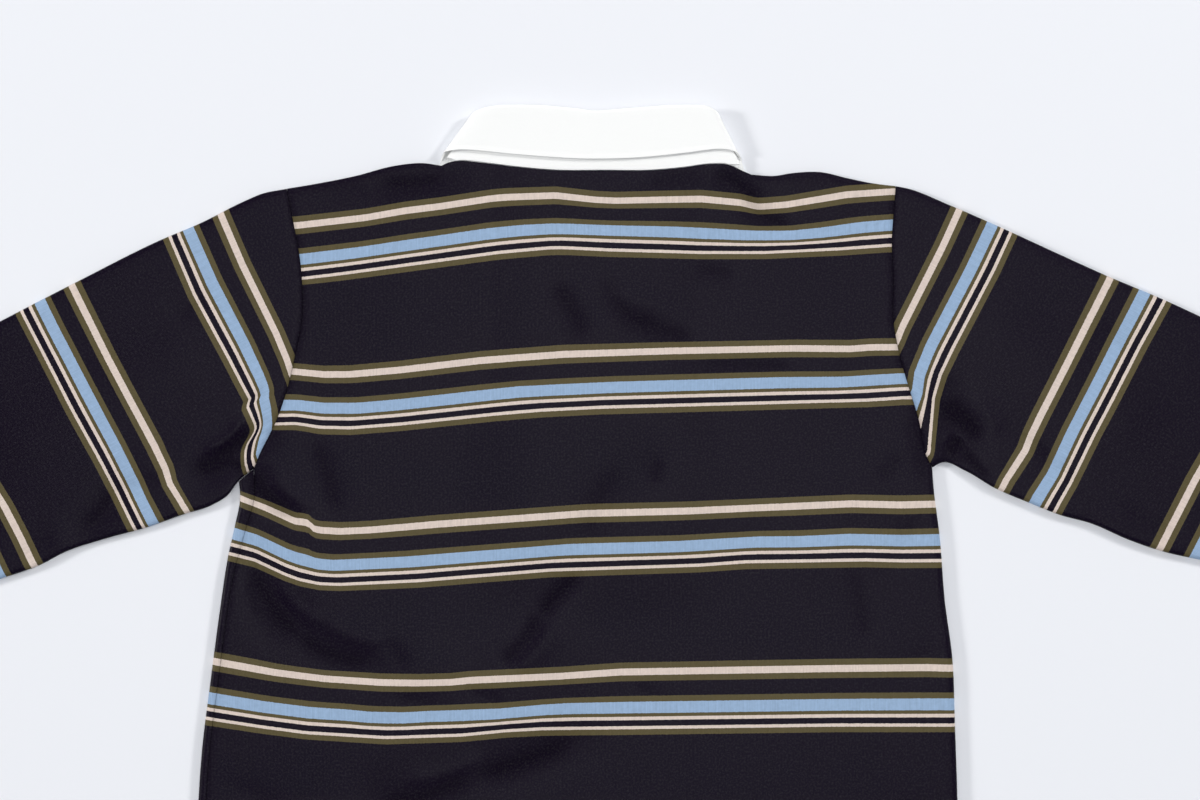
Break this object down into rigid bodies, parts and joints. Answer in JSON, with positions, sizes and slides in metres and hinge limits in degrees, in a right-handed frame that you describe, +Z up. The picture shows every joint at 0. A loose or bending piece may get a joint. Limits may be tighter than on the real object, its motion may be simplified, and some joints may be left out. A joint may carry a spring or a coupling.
{
  "type": "polo shirt",
  "caption": "Striped long-sleeved jersey polo shirt laid flat with its back up, with a white folded collar, a buttoned front opening underneath and ribbed cuffs",
  "frame": {"origin": "middle of the laid shirt's outline, on the surface that it lies on", "axes": "+Z up from the surface, out of the shirt's back; +Y towards the collar; +X towards the right sleeve, so the sleeves reach along X"},
  "size_m": [1.5552, 0.768, 0.0112],
  "materials": {
    "striped_jersey": "matte cotton jersey, navy with groups of olive, cream and light blue stripes",
    "collar_twill": "matte white cotton twill",
    "rib": "matte navy rib knit",
    "button": "satin off-white"
  },
  "bodies": {
    "root": {"back": "striped_jersey", "front": "striped_jersey", "sleeve_left": "striped_jersey", "sleeve_right": "striped_jersey", "placket": "striped_jersey", "collar": "collar_twill", "cuff_left": "rib", "cuff_right": "rib", "button_1": "button", "button_2": "button", "button_3": "button"}
  },
  "joints": []
}
